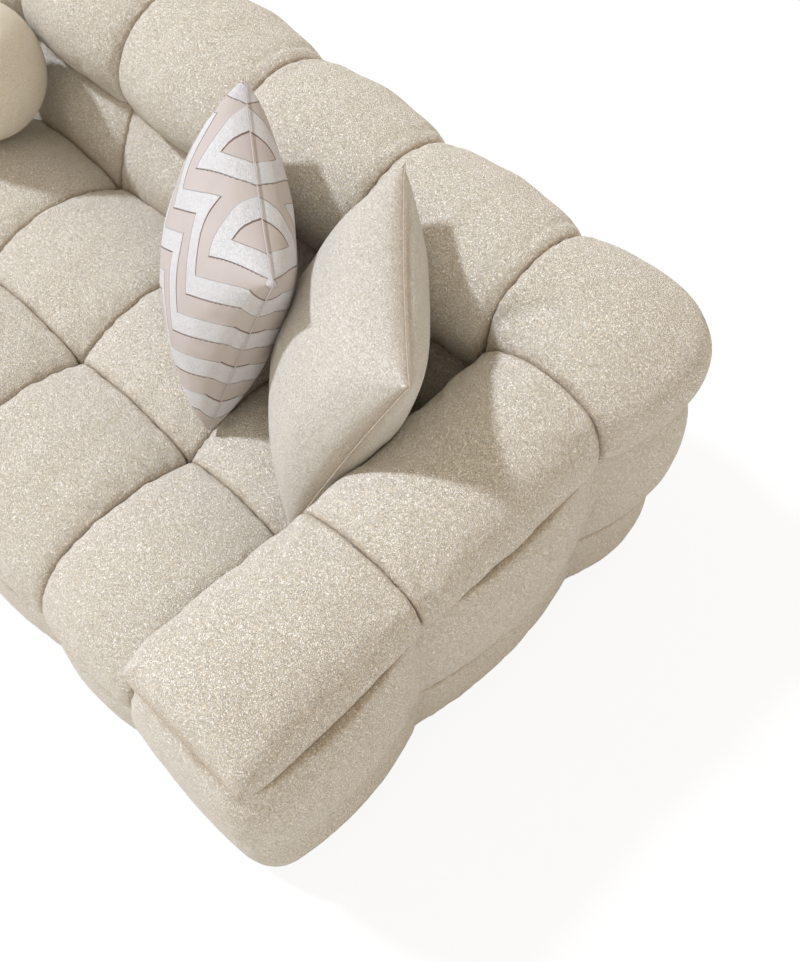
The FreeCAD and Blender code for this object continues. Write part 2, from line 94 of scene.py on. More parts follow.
# Throw cushions: side, thickness and crown, then the heading, lean and roll of the CAD
patterned_size = (0.455, 0.205, 0.43)
patterned_turn = (-34.5, 20.5, 5.0)
plain_size = (0.468, 0.212, 0.50)
plain_turn = (-44.7, 26.7, 0.0)
panel_cells = 52
panel_draw_in = 0.04
cushion_cap = 0.006
cushion_slack = 0.01
cushion_uneven = (0.006, 0.11)
cushion_rim_reach = 0.09
welt_radius = 0.0012
welt_offset = 0.6
welt_sides = 8
# How much painted seam shade the welt takes
welt_painted_shade = 0.9

# Ball cushion: unevenness, size against its solid, and the height it is flattened at below
ball_uneven = (0.012, 0.12)
ball_scale = 0.995
ball_foot = 0.985

# Where a cushion lies against a cover: how near a point counts, and the gap that is left
press_margin = 0.01
press_reach = 0.03
press_gap = 0.0015

# The patterned cushion's zigzag bands on its face, then shares of the height of two bands
band_height = 0.0526
band_half_turn = 0.095
band_peak = (0.0195, 0.298)
band_slope = 1.03
edge_roll = (0.170, 38.0)
band_middle = 0.25
band_edge = (0.262, 0.226)
upper_line = (0.493, 0.480)
lower_line = (0.513, 0.007)
stitch_turns = 900.0
stitch_rest = -0.3

# Loops of the yarn at size 1: textures to a metre, how far a loop strays, how often it curls
drift_scale = 90.0
loop_stray = 0.009
curl_scale = 130.0
curl_turns = 34.0
curl_share = 0.55
knot_scale = 270.0
knot_share = 0.6
patch_scale = 5.0
gap_height = (0.80, 0.34)

# Bouclé: how brown its gaps are, how strong the painted shade along its seams is, and the height of
# its loops
boucle_gap = 0.75
boucle_painted_shade = 0.36
boucle_loop = 0.0024

# Terry: yarn size, how grey its gaps are, and the height of loops and bands
terry_yarn = 0.55
terry_gap = 0.5
terry_loop = (0.35, 0.08)
terry_raise = 2.2
terry_height = 0.002

# The camera, in the frame of the sofa
camera_place = (1.675, -0.7647, 2.2402)
camera_azimuth = 45.227
camera_elevation = 58.136
camera_roll = -0.803
camera_lens = 44.46

# The floor, with the share of its white that doesn't take the sofa's shadow
floor_half = 12
floor_white_share = 0.9

# The room's light and the key lamp
room_colour = (1.0, 0.88, 0.71)
room_strength = 0.68
key_colour = (0.95, 1.0, 1.09)
key_strength = 2.4
key_angle = 4.5
key_way = (0.61, 0.24, -0.75)
white = (1.0, 1.0, 1.0, 1.0)

slot_of = {part["node"]: part["material_slot"] for part in record["subparts"]}
soft_nodes = sorted(n for n in nodes if slot_of[n].startswith("boucle"))
cushion_nodes = ("patterned_cushion", "plain_cushion", "ball_cushion")


# Shader helpers
def add_node(tree, kind, **settings):
    """A new node, with its inputs named as in_Name and its own settings by their names."""
    made = tree.nodes.new(kind)
    for key, value in settings.items():
        if key.startswith("in_"):
            name = key[3:].replace("_", " ")
            made.inputs[name].default_value = value
        else:
            setattr(made, key, value)
    return made


def join(tree, start, end):
    tree.links.new(start, end)


def math_node(tree, operation, a, b=None, c=None):
    made = tree.nodes.new("ShaderNodeMath")
    made.operation = operation
    for socket, value in zip(made.inputs, (a, b, c)):
        if value is None:
            continue
        if isinstance(value, (int, float)):
            socket.default_value = value
        else:
            tree.links.new(value, socket)
    return made.outputs[0]


def ramp(tree, factor, stops):
    made = tree.nodes.new("ShaderNodeValToRGB")
    elements = made.color_ramp.elements
    while len(elements) < len(stops):
        elements.new(0.5)
    for element, (position, colour) in zip(elements, stops):
        element.position = position
        element.color = (*colour, 1.0)
    tree.links.new(factor, made.inputs[0])
    return made.outputs[0]


def mix_colour(tree, factor, a, b):
    made = tree.nodes.new("ShaderNodeMix")
    made.data_type = "RGBA"
    for socket, value in ((made.inputs[0], factor), (made.inputs[6], a), (made.inputs[7], b)):
        if isinstance(value, (int, float)):
            socket.default_value = value
        elif isinstance(value, tuple):
            socket.default_value = (*value, 1.0)
        else:
            tree.links.new(value, socket)
    return made.outputs[2]


def new_group(name, inputs, outputs):
    group = bpy.data.node_groups.new(name, "ShaderNodeTree")
    for label, kind, value in inputs:
        socket = group.interface.new_socket(label, in_out="INPUT", socket_type=kind)
        if value is not None:
            socket.default_value = value
    for label, kind in outputs:
        group.interface.new_socket(label, in_out="OUTPUT", socket_type=kind)
    return group, group.nodes.new("NodeGroupInput"), group.nodes.new("NodeGroupOutput")


def linear(red, green, blue):
    """Linear light from a colour as it is read off a screen, 0 to 255."""
    out = []
    for value in (red, green, blue):
        value /= 255.0
        out.append(value / 12.92 if value <= 0.04045 else ((value + 0.055) / 1.055) ** 2.4)
    return tuple(out)


# Shared effects
def loop_pile_group():
    """Curled loops of a yarn: a height and how much a point is in a gap between loops."""
    group, start, end = new_group(
        "loop_pile", [("Coordinates", "NodeSocketVector", None), ("Size", "NodeSocketFloat", 1.0)],
        [("Height", "NodeSocketFloat"), ("Gap", "NodeSocketFloat"), ("Tone", "NodeSocketFloat")])
    scaled = add_node(group, "ShaderNodeVectorMath", operation="SCALE")
    join(group, start.outputs["Coordinates"], scaled.inputs[0])
    join(group, math_node(group, "DIVIDE", 1.0, start.outputs["Size"]), scaled.inputs["Scale"])
    drift = add_node(group, "ShaderNodeTexNoise", in_Scale=drift_scale, in_Detail=2.0)
    join(group, scaled.outputs[0], drift.inputs["Vector"])
    centred = add_node(group, "ShaderNodeVectorMath", operation="SUBTRACT")
    centred.inputs[1].default_value = (0.5, 0.5, 0.5)
    join(group, drift.outputs["Color"], centred.inputs[0])
    pulled = add_node(group, "ShaderNodeVectorMath", operation="MULTIPLY_ADD")
    pulled.inputs[1].default_value = (loop_stray, loop_stray, loop_stray)
    join(group, centred.outputs[0], pulled.inputs[0])
    join(group, scaled.outputs[0], pulled.inputs[2])
    curls = add_node(group, "ShaderNodeTexNoise", in_Scale=curl_scale, in_Detail=1.0)
    join(group, pulled.outputs[0], curls.inputs["Vector"])
    strands = math_node(group, "SINE", math_node(group, "MULTIPLY", curls.outputs["Fac"], curl_turns))
    strands = math_node(group, "MULTIPLY_ADD", strands, 0.5, 0.5)
    knots = add_node(group, "ShaderNodeTexVoronoi", in_Scale=knot_scale, feature="SMOOTH_F1")
    join(group, pulled.outputs[0], knots.inputs["Vector"])
    round_tops = math_node(group, "SUBTRACT", 1.0, knots.outputs["Distance"])
    height = math_node(group, "ADD", math_node(group, "MULTIPLY", strands, curl_share),
                       math_node(group, "MULTIPLY", round_tops, knot_share))
    patches = add_node(group, "ShaderNodeTexNoise", in_Scale=patch_scale, in_Detail=3.0)
    join(group, scaled.outputs[0], patches.inputs["Vector"])
    gap = add_node(group, "ShaderNodeMapRange", interpolation_type="SMOOTHSTEP")
    gap.inputs["From Min"].default_value, gap.inputs["From Max"].default_value = gap_height
    join(group, height, gap.inputs["Value"])
    join(group, height, end.inputs["Height"])
    join(group, gap.outputs[0], end.inputs["Gap"])
    join(group, patches.outputs["Fac"], end.inputs["Tone"])
    return group


def new_material(name):
    material = bpy.data.materials.new(name)
    material.use_nodes = True
    tree = material.node_tree
    shader = tree.nodes["Principled BSDF"]
    return material, tree, shader


def object_coordinates(tree):
    return add_node(tree, "ShaderNodeTexCoord").outputs["Object"]


def set_bump(tree, shader, height, distance):
    bump = add_node(tree, "ShaderNodeBump", in_Strength=1.0, in_Distance=distance)
    join(tree, height, bump.inputs["Height"])
    join(tree, bump.outputs[0], shader.inputs["Normal"])


def boucle(name, light, warm, gap_colour, size, bump=boucle_loop):
    """Cream loop pile, browner in its gaps, with painted shade along the seams."""
    material, tree, shader = new_material(name)
    pile = add_node(tree, "ShaderNodeGroup", node_tree=loop_pile)
    pile.inputs["Size"].default_value = size
    join(tree, object_coordinates(tree), pile.inputs["Coordinates"])
    base = mix_colour(tree, pile.outputs["Tone"], light, warm)
    in_gap = math_node(tree, "MULTIPLY", pile.outputs["Gap"], boucle_gap)
    colour = mix_colour(tree, in_gap, base, gap_colour)
    # Painted shade: a brown tint near the seams, cushion rims and welts, where shade falls in the
    # grooves
    painted_seam_shade = add_node(tree, "ShaderNodeAttribute", attribute_name="painted_seam_shade")
    painted_shade_share = math_node(tree, "MULTIPLY", painted_seam_shade.outputs["Fac"], boucle_painted_shade)
    colour = mix_colour(tree, painted_shade_share, colour, linear(176, 144, 98))
    join(tree, colour, shader.inputs["Base Color"])
    shader.inputs["Roughness"].default_value = 0.95
    shader.inputs["Specular IOR Level"].default_value = 0.15
    shader.inputs["Sheen Weight"].default_value = 0.15
    shader.inputs["Sheen Roughness"].default_value = 0.6
    set_bump(tree, shader, pile.outputs["Height"], bump)
    return material


def zigzag_group():
    """Zigzag bands on a cushion's face: which points are raised and which are on a stitch line."""
    group, start, end = new_group(
        "zigzag_bands", [("Coordinates", "NodeSocketVector", None)],
        [("Raised", "NodeSocketFloat"), ("Outline", "NodeSocketFloat")])
    parts = add_node(group, "ShaderNodeSeparateXYZ")
    join(group, start.outputs["Coordinates"], parts.inputs[0])
    past = math_node(group, "SUBTRACT", math_node(group, "ABSOLUTE", parts.outputs["Z"]), edge_roll[0])
    past = math_node(group, "MAXIMUM", past, 0.0)
    pull = math_node(group, "MULTIPLY_ADD", math_node(group, "POWER", past, 2.0), edge_roll[1], 1.0)
    up = math_node(group, "MULTIPLY", parts.outputs["Z"], pull)
    x = math_node(group, "SUBTRACT", parts.outputs["X"], band_peak[0])
    fall = math_node(group, "MULTIPLY", math_node(group, "PINGPONG", x, band_half_turn), band_slope)
    depth = math_node(group, "SUBTRACT", math_node(group, "SUBTRACT", band_peak[1], fall), up)
    share = math_node(group, "FRACT", math_node(group, "DIVIDE", depth, 2.0 * band_height))
    off = math_node(group, "ABSOLUTE", math_node(group, "SUBTRACT", share, band_middle))
    raised = add_node(group, "ShaderNodeMapRange", interpolation_type="SMOOTHSTEP")
    raised.inputs["From Min"].default_value, raised.inputs["From Max"].default_value = band_edge
    join(group, off, raised.inputs["Value"])
    leg = math_node(group, "FRACT", math_node(group, "DIVIDE", x, 2.0 * band_half_turn))
    falling = math_node(group, "LESS_THAN", leg, 0.5)
    rising = math_node(group, "SUBTRACT", 1.0, falling)
    upper = math_node(group, "GREATER_THAN", math_node(group, "ABSOLUTE",
                      math_node(group, "SUBTRACT", share, upper_line[0])), upper_line[1])
    lower = math_node(group, "LESS_THAN", math_node(group, "ABSOLUTE",
                      math_node(group, "SUBTRACT", share, lower_line[0])), lower_line[1])
    stitches = math_node(group, "GREATER_THAN", math_node(group, "SINE",
                         math_node(group, "MULTIPLY", x, stitch_turns)), stitch_rest)
    lower = math_node(group, "MULTIPLY", math_node(group, "MULTIPLY", lower, rising), stitches)
    line = math_node(group, "MAXIMUM", math_node(group, "MULTIPLY", upper, falling), lower)
    join(group, raised.outputs[0], end.inputs["Raised"])
    join(group, line, end.inputs["Outline"])
    return group


def patterned_terry(name):
    """White terry bands raised on a greige ground, with a brown stitch line along one edge."""
    material, tree, shader = new_material(name)
    coordinates = add_node(tree, "ShaderNodeAttribute", attribute_name="panel_place").outputs["Vector"]
    bands = add_node(tree, "ShaderNodeGroup", node_tree=zigzag_bands)
    join(tree, coordinates, bands.inputs["Coordinates"])
    pile = add_node(tree, "ShaderNodeGroup", node_tree=loop_pile)
    pile.inputs["Size"].default_value = terry_yarn
    join(tree, coordinates, pile.inputs["Coordinates"])
    band = mix_colour(tree, math_node(tree, "MULTIPLY", pile.outputs["Gap"], terry_gap),
                      linear(224, 225, 230), linear(204, 204, 208))
    ground = mix_colour(tree, pile.outputs["Tone"], linear(199, 192, 191), linear(190, 182, 179))
    ground = mix_colour(tree, bands.outputs["Outline"], ground, linear(132, 112, 104))
    colour = mix_colour(tree, bands.outputs["Raised"], ground, band)
    join(tree, colour, shader.inputs["Base Color"])
    shader.inputs["Roughness"].default_value = 0.95
    shader.inputs["Specular IOR Level"].default_value = 0.15
    fuzz = math_node(tree, "MULTIPLY", pile.outputs["Height"],
                     math_node(tree, "MULTIPLY_ADD", bands.outputs["Raised"], *terry_loop))
    rise = math_node(tree, "MULTIPLY", bands.outputs["Raised"], terry_raise)
    height = math_node(tree, "ADD", rise, fuzz)
    set_bump(tree, shader, height, terry_height)
    return material


def grained(name, stops, scale, detail, roughness, bump, stretch=(1.0, 1.0, 1.0), metallic=0.0):
    """A hard or inner material whose colour and surface follow one noise."""
    material, tree, shader = new_material(name)
    mapping = add_node(tree, "ShaderNodeMapping")
    mapping.inputs["Scale"].default_value = stretch
    join(tree, object_coordinates(tree), mapping.inputs["Vector"])
    grain = add_node(tree, "ShaderNodeTexNoise", in_Scale=scale, in_Detail=detail)
    join(tree, mapping.outputs[0], grain.inputs["Vector"])
    join(tree, ramp(tree, grain.outputs["Fac"], stops), shader.inputs["Base Color"])
    shader.inputs["Roughness"].default_value = roughness
    shader.inputs["Metallic"].default_value = metallic
    set_bump(tree, shader, grain.outputs["Fac"], bump)
    return material


loop_pile = loop_pile_group()
zigzag_bands = zigzag_group()
cream = dict(light=linear(252, 251, 249), warm=linear(249, 247, 241),
             gap_colour=linear(206, 190, 158), size=0.60)
materials = {
    "boucle_seat": boucle("boucle_seat", **cream),
    "boucle_back": boucle("boucle_back", **cream),
    "boucle_arms": boucle("boucle_arms", **cream),
    "cushion_boucle": boucle("cushion_boucle", linear(236, 236, 235), linear(233, 232, 228),
                             linear(198, 188, 166), size=0.50, bump=0.0014),
    "ball_knit": boucle("ball_knit", linear(252, 249, 242), linear(248, 242, 230),
                        linear(222, 206, 176), size=0.45, bump=0.001),
    "patterned_weave": patterned_terry("patterned_weave"),
    "foam": grained(
        "foam", ((0.3, linear(232, 222, 176)), (0.7, linear(244, 238, 204))),
        scale=900.0, detail=2.0, roughness=0.9, bump=0.0004),
    "spring_steel": grained(
        "spring_steel", ((0.3, linear(150, 150, 154)), (0.7, linear(186, 186, 190))),
        scale=400.0, detail=3.0, roughness=0.35, bump=0.00005, metallic=1.0),
    "platform_felt": grained(
        "platform_felt", ((0.3, linear(92, 90, 88)), (0.7, linear(150, 147, 143))),
        scale=500.0, detail=6.0, roughness=0.95, bump=0.0005),
    "dust_cloth": grained(
        "dust_cloth", ((0.4, linear(30, 30, 31)), (0.6, linear(52, 52, 54))),
        scale=1400.0, detail=2.0, roughness=0.9, bump=0.0002),
    "foot_plastic": grained(
        "foot_plastic", ((0.3, linear(34, 34, 35)), (0.7, linear(46, 46, 48))),
        scale=700.0, detail=3.0, roughness=0.55, bump=0.0001),
    "hardwood": grained(
        "hardwood", ((0.25, linear(168, 124, 78)), (0.75, linear(214, 176, 124))),
        scale=14.0, detail=6.0, roughness=0.7, bump=0.0004, stretch=(1.0, 8.0, 12.0)),
}


# Mesh helpers
def mesh_arrays(mesh):
    """The points of a mesh and the triangles between them."""
    mesh.calc_loop_triangles()
    triangles = np.empty(len(mesh.loop_triangles) * 3, np.int32)
    mesh.loop_triangles.foreach_get("vertices", triangles)
    return positions(mesh), triangles.reshape(-1, 3)


def welded(points, triangles):
    """Joins the copies of a point that neighbouring faces carry."""
    _, first, index = np.unique(np.round(points, 6), axis=0, return_index=True, return_inverse=True)
    triangles = index.reshape(-1)[triangles]
    a, b, c = triangles.T
    return points[first], triangles[(a != b) & (b != c) & (c != a)]


def solids_of(node):
    """The separate solids of a CAD node, each as points and triangles."""
    points, triangles = welded(*mesh_arrays(nodes[node].data))
    label = np.arange(len(points))
    while True:
        lowest = label.copy()
        np.minimum.at(lowest, triangles.ravel(), np.repeat(label[triangles].min(axis=1), 3))
        lowest = lowest[lowest]
        if (lowest == label).all():
            break
        label = lowest
    parts = []
    for value in np.unique(label):
        keep = label == value
        number = np.cumsum(keep) - 1
        parts.append((points[keep], number[triangles[keep[triangles[:, 0]]]]))
    return parts


def flat_sides(points, triangles):
    """Planes that hold a flat side of the solid, with all of the solid behind them."""
    a, b, c = (points[triangles[:, i]] for i in range(3))
    cross = np.cross(b - a, c - a)
    area = np.linalg.norm(cross, axis=1) / 2.0
    normal = cross / np.maximum(2.0 * area, 1e-12)[:, None]
    reach = (normal * a).sum(axis=1)
    planes = np.round(np.column_stack((normal * side_way_steps, reach * side_place_steps)))
    index = np.unique(planes, axis=0, return_inverse=True)[1].reshape(-1)
    total = np.bincount(index, weights=area)
    sides = []
    for i in np.argsort(-total)[:side_most]:
        if total[i] < side_area:
            break
        members = index == i
        n = (normal[members] * area[members][:, None]).sum(axis=0)
        n /= np.linalg.norm(n)
        d = (points @ n).max()
        near = (a[members] @ n).min()
        if d - near < side_flatness and not any(n @ m > side_same_way for m, _ in sides):
            sides.append((n, d))
    return sides


def new_object(name, points, faces):
    mesh = bpy.data.meshes.new(name)
    mesh.from_pydata(np.asarray(points).tolist(), [], np.asarray(faces).tolist())
    mesh.update()
    made = bpy.data.objects.new(name, mesh)
    scene.collection.objects.link(made)
    return made


def regridded(made, size):
    """Replaces a closed mesh by an even grid of squares of this size."""
    change = made.modifiers.new("Grid", "REMESH")
    change.mode = "VOXEL"
    change.voxel_size = size
    bpy.context.view_layer.update()
    shaped = bpy.data.meshes.new_from_object(made.evaluated_get(bpy.context.evaluated_depsgraph_get()))
    old = made.data
    made.modifiers.remove(change)
    made.data = shaped
    bpy.data.meshes.remove(old)


def positions(mesh):
    points = np.empty(len(mesh.vertices) * 3)
    mesh.vertices.foreach_get("co", points)
    return points.reshape(-1, 3)


def set_positions(mesh, points):
    mesh.vertices.foreach_set("co", np.asarray(points, float).ravel())
    mesh.update()


def normals(mesh):
    out = np.empty(len(mesh.vertices) * 3)
    mesh.vertex_normals.foreach_get("vector", out)
    return out.reshape(-1, 3)


def depth_behind(points, sides):
    """How far each point is behind the nearest flat side."""
    depth = np.full(len(points), 1.0)
    for n, d in sides:
        depth = np.minimum(depth, d - points @ n)
    return depth


def eased(value, low, high):
    """From 0 to 1 between two values, smooth at both."""
    share = np.clip((value - low) / (high - low), 0.0, 1.0)
    return share * share * (3.0 - 2.0 * share)


def soft_noise(points, size, seed):
    """Slow unevenness of about this size, between -1 and 1."""
    shift = Vector((seed * 3.1, seed * 1.7, seed * 2.3))
    return np.array([noise.noise(Vector(p) / size + shift) for p in points])


def start_cloth(made, held, slack, pressure):
    """Cloth that swells from inside; held points stay where they are."""
    group = made.vertex_groups.new(name="held")
    group.add(np.nonzero(held)[0].tolist(), 1.0, "REPLACE")
    cloth = made.modifiers.new("Cloth", "CLOTH")
    settings = cloth.settings
    settings.quality = 4
    settings.mass = 0.2
    settings.tension_stiffness = 12.0
    settings.compression_stiffness = 12.0
    settings.shear_stiffness = 4.0
    settings.bending_stiffness = 0.6
    settings.use_pressure = True
    settings.uniform_pressure_force = pressure
    settings.shrink_min = -slack
    settings.shrink_max = -slack
    settings.effector_weights.gravity = 0.0
    settings.vertex_group_mass = "held"
    cloth.collision_settings.use_collision = False
    cloth.collision_settings.use_self_collision = False
    cloth.point_cache.frame_start = 1
    cloth.point_cache.frame_end = simulation_frames


def run_cloth(pieces):
    """Runs the cloth of all pieces together and returns where their points end."""
    scene.frame_start, scene.frame_end = 1, simulation_frames
    for step in range(1, simulation_frames + 1):
        scene.frame_set(step)
    graph = bpy.context.evaluated_depsgraph_get()
    ends = [positions(made.evaluated_get(graph).data) for made in pieces]
    for made in pieces:
        made.modifiers.clear()
        made.vertex_groups.clear()
    scene.frame_set(1)
    return ends


def finish_piece(made, material_slot, body, smooth_levels=1):
    """Gives a piece its material, its finer surface and its body."""
    made.data.polygons.foreach_set("use_smooth", [True] * len(made.data.polygons))
    made.data.materials.clear()
    made.data.materials.append(materials[material_slot])
    if smooth_levels:
        finer = made.modifiers.new("Finer", "SUBSURF")
        finer.levels = smooth_levels
        finer.render_levels = smooth_levels
    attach(made, body)


# Covers of the sofa
def laid_on(points, surface):
    """Each point moved onto the nearest point of a surface."""
    return np.array([surface.find_nearest(Vector(p))[0] for p in points])


def evened(mesh, node, sides):
    """A cover's points with the seams' grooves filled and the arms' puffs flush with the bands."""
    points = positions(mesh)
    way = normals(mesh)
    for n, d in sides:
        near = (d - points @ n) < 1.5 * seam_snap
        way[near] -= (way[near] @ n)[:, None] * n
    length = np.linalg.norm(way, axis=1)
    on_skin = eased(length, *skin_share)
    way /= np.maximum(length, 0.1)[:, None]
    out = points.copy()
    for n, d in sides:
        behind = d - points @ n
        near = (behind < seam_snap) & (on_skin > skin_sure)
        out[near] += behind[near][:, None] * n
    fill = seam_fill * (1.0 - eased(depth_behind(points, sides), 0.0, seam_fill_reach))
    out += (fill * on_skin)[:, None] * way
    level = way * np.array([1.0, 1.0, 0.0])
    level /= np.maximum(np.linalg.norm(level, axis=1), 0.5)[:, None]
    arm = on_skin * (1.0 - eased(points[:, 1], *arm_seam_end))
    if node.startswith("side_middle_band"):
        near = eased(points[:, 2], arm_seam_height - arm_seam_reach[0], arm_seam_height)
        out -= (band_tuck * near * arm)[:, None] * level
    if node.startswith("arm_") and "top_puff" in node:
        near = 1.0 - eased(points[:, 2], arm_seam_height, arm_seam_height + arm_seam_reach[1])
        outer = np.maximum(eased(np.abs(points[:, 0]), *arm_side_face),
                           eased(-points[:, 1], *arm_front_face))
        out += (puff_foot_fill * near * outer * on_skin)[:, None] * level
    return out


def make_covers():
    """Each solid of the sofa's padding as an even grid on its surface, with its flat sides."""
    covers = []
    for node in soft_nodes:
        solids = solids_of(node)
        for number, (points, triangles) in enumerate(solids):
            name = "cover_" + node + ("_%d" % (number + 1) if len(solids) > 1 else "")
            made = new_object(name, points, triangles)
            regridded(made, cover_grid)
            surface = BVHTree.FromPolygons(points.tolist(), triangles.tolist())
            sides = flat_sides(points, triangles)
            set_positions(made.data, laid_on(positions(made.data), surface))
            set_positions(made.data, evened(made.data, node, sides))
            covers.append((made, node, sides))
    return covers


def swell_covers(covers, squares):
    """Grows every cover between its seams and keeps it behind them, with the cushions beside it."""
    starts = []
    for seed, (made, _, sides) in enumerate(covers):
        points = positions(made.data)
        depth = depth_behind(points, sides)
        free = np.clip((depth - free_depth) / free_blend, 0.0, 1.0)
        uneven = cover_uneven[0] * soft_noise(points, cover_uneven[1], seed)
        inward = (uneven - cover_inset)[:, None] * free[:, None] * normals(made.data)
        set_positions(made.data, points + inward)
        starts.append((points, points + inward))
        start_cloth(made, depth < held_depth, cover_slack, cover_pressure)
    loose = [square[0] for square in squares]
    ends = run_cloth([cover[0] for cover in covers] + loose)
    shapes = shape_cushions(squares, ends[len(covers):]) + [make_ball()]
    for (made, _, sides), (_, start), end in zip(covers, starts, ends):
        move = end - start
        size = np.linalg.norm(move, axis=1)
        cap = cover_cap * np.tanh(size / cover_cap)
        points = start + move * (cap / np.maximum(size, 1e-9))[:, None]
        for n, d in sides:
            over = points @ n - (d - seam_gap)
            points -= np.maximum(over, 0.0)[:, None] * n
        set_positions(made.data, points)
        # Painted seam shade on each cover: full at its seams, fading away from them
        depth = depth_behind(points, sides)
        painted_seam_shade = made.data.attributes.new("painted_seam_shade", "FLOAT", "POINT")
        painted_seam_shade.data.foreach_set("value", np.exp(-np.maximum(depth, 0.0) / seam_shade_reach))
    press_covers(covers, shapes)


# Throw cushions
def pillow_panels(name, side, thickness, crown):
    """Two square panels joined along their edges and full between them."""
    n = panel_cells
    half = side / 2.0
    points, number = [], {}
    for face in (-1, 1):
        for j in range(n + 1):
            for i in range(n + 1):
                on_edge = i in (0, n) or j in (0, n)
                if face == 1 and on_edge:
                    number[face, i, j] = number[-1, i, j]
                    continue
                u, v = 2.0 * i / n - 1.0, 2.0 * j / n - 1.0
                number[face, i, j] = len(points)
                rise = ((1.0 - u * u) * (1.0 - v * v)) ** crown
                points.append((half * u * (1.0 - panel_draw_in * (1.0 - v * v)),
                               face * thickness / 2.0 * rise,
                               half * v * (1.0 - panel_draw_in * (1.0 - u * u))))
    faces = []
    for face in (-1, 1):
        for j in range(n):
            for i in range(n):
                round_cell = ((i, j), (i + 1, j), (i + 1, j + 1), (i, j + 1))
                quad = [number[face, a, b] for a, b in round_cell]
                faces.append(quad if face == -1 else quad[::-1])
    rim = [(i, 0) for i in range(n)] + [(n, j) for j in range(n)]
    rim += [(i, n) for i in range(n, 0, -1)] + [(0, j) for j in range(n, 0, -1)]
    return new_object(name, points, faces), [number[-1, i, j] for i, j in rim]


def settled(start, end, rim, seed):
    """The swollen cushion, capped and softly uneven, and how far each point is from the rim."""
    move = end - start
    size = np.linalg.norm(move, axis=1)
    cap = cushion_cap * np.tanh(size / cushion_cap)
    out = start + move * (cap / np.maximum(size, 1e-9))[:, None]
    away = np.sqrt(((start[:, None, :] - start[rim][None, :, :]) ** 2).sum(axis=2)).min(axis=1)
    uneven = cushion_uneven[0] * soft_noise(start, cushion_uneven[1], seed)
    uneven *= eased(away, 0.0, cushion_rim_reach)
    out[:, 1] += uneven * np.sign(start[:, 1])
    out -= (out.max(axis=0) + out.min(axis=0)) / 2.0
    out[:, 0::2] *= np.abs(start[:, 0::2]).max(axis=0) / np.abs(out[:, 0::2]).max(axis=0)
    return out, away


def turned(turn):
    """How a cushion stands: its heading, how it leans back, and its roll, in degrees."""
    heading, lean, roll = (math.radians(v) for v in turn)
    leaning = Matrix.Rotation(heading, 4, "Z") @ Matrix.Rotation(-lean, 4, "X")
    return leaning @ Matrix.Rotation(roll, 4, "Y")


def middle_of(node):
    low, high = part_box(node)
    return (Vector(low) + Vector(high)) / 2.0


def moved(points, place):
    """Points in the frame of the sofa, from points in the frame of a cushion."""
    matrix = np.array(place)
    return points @ matrix[:3, :3].T + matrix[:3, 3]


def cord_along(name, line, outward, radius, place):
    """A closed round cord along a loop of points."""
    rings, sides = len(line), welt_sides
    points, faces = [], []
    for k in range(rings):
        here = Vector(line[k])
        way = (Vector(line[(k + 1) % rings]) - Vector(line[k - 1])).normalized()
        out = (Vector(outward[k]) - way * way.dot(Vector(outward[k]))).normalized()
        up = way.cross(out)
        for m in range(sides):
            a = 2.0 * math.pi * m / sides
            points.append(here + radius * (welt_offset * out + math.cos(a) * out + math.sin(a) * up))
            faces.append((k * sides + m, k * sides + (m + 1) % sides,
                          (k + 1) % rings * sides + (m + 1) % sides, (k + 1) % rings * sides + m))
    return new_object(name, moved(np.array(points), place), faces)


def make_cushions():
    """Both square cushions as plump panels, ready to swell."""
    squares = []
    for node, size, turn in (("patterned_cushion", patterned_size, patterned_turn),
                             ("plain_cushion", plain_size, plain_turn)):
        made, rim = pillow_panels(node + "_cover", *size)
        nothing_held = np.zeros(len(made.data.vertices), bool)
        start_cloth(made, nothing_held, cushion_slack, cover_pressure)
        squares.append((made, rim, node, turn))
    return squares


def shape_cushions(squares, ends):
    """Sets both square cushions in their places, with a thin welt along their edges."""
    shapes = []
    for seed, ((made, rim, node, turn), end) in enumerate(zip(squares, ends)):
        shape, away = settled(positions(made.data), end, rim, seed + 3)
        # Painted seam shade on each cushion: full at its rim, fading towards the middle
        painted_seam_shade = made.data.attributes.new("painted_seam_shade", "FLOAT", "POINT")
        painted_seam_shade.data.foreach_set("value", np.exp(-away / seam_shade_reach))
        panel = made.data.attributes.new("panel_place", "FLOAT_VECTOR", "POINT")
        panel.data.foreach_set("vector", shape.ravel())
        place = Matrix.Translation(middle_of(node)) @ turned(turn)
        set_positions(made.data, moved(shape, place))
        line = shape[rim]
        welt = cord_along(node + "_welt", line, line, welt_radius, place)
        finish_piece(made, slot_of[node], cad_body[node])
        # The welt takes painted seam shade all along it
        welt_shade = welt.data.attributes.new("painted_seam_shade", "FLOAT", "POINT")
        welt_shade.data.foreach_set("value", np.full(len(welt.data.vertices), welt_painted_shade))
        finish_piece(welt, slot_of[node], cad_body[node], smooth_levels=0)
        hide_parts(node)
        shapes.append(made)
    return shapes


def make_ball():
    """A round cushion as large as its solid, a little uneven and flattened where it rests."""
    points, triangles = solids_of("ball_cushion")[0]
    made = new_object("ball_cushion_cover", points, triangles)
    regridded(made, cover_grid)
    middle = np.array(middle_of("ball_cushion"))
    around = positions(made.data) - middle
    reach = np.linalg.norm(around, axis=1)
    shape = around / reach[:, None] * reach.max()
    shape *= (1.0 + ball_uneven[0] * soft_noise(shape, ball_uneven[1], 5.0))[:, None] * ball_scale
    shape[:, 2] = np.maximum(shape[:, 2], -ball_foot * reach.max())
    set_positions(made.data, middle + shape)
    finish_piece(made, "ball_knit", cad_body["ball_cushion"])
    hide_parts("ball_cushion")
    return made


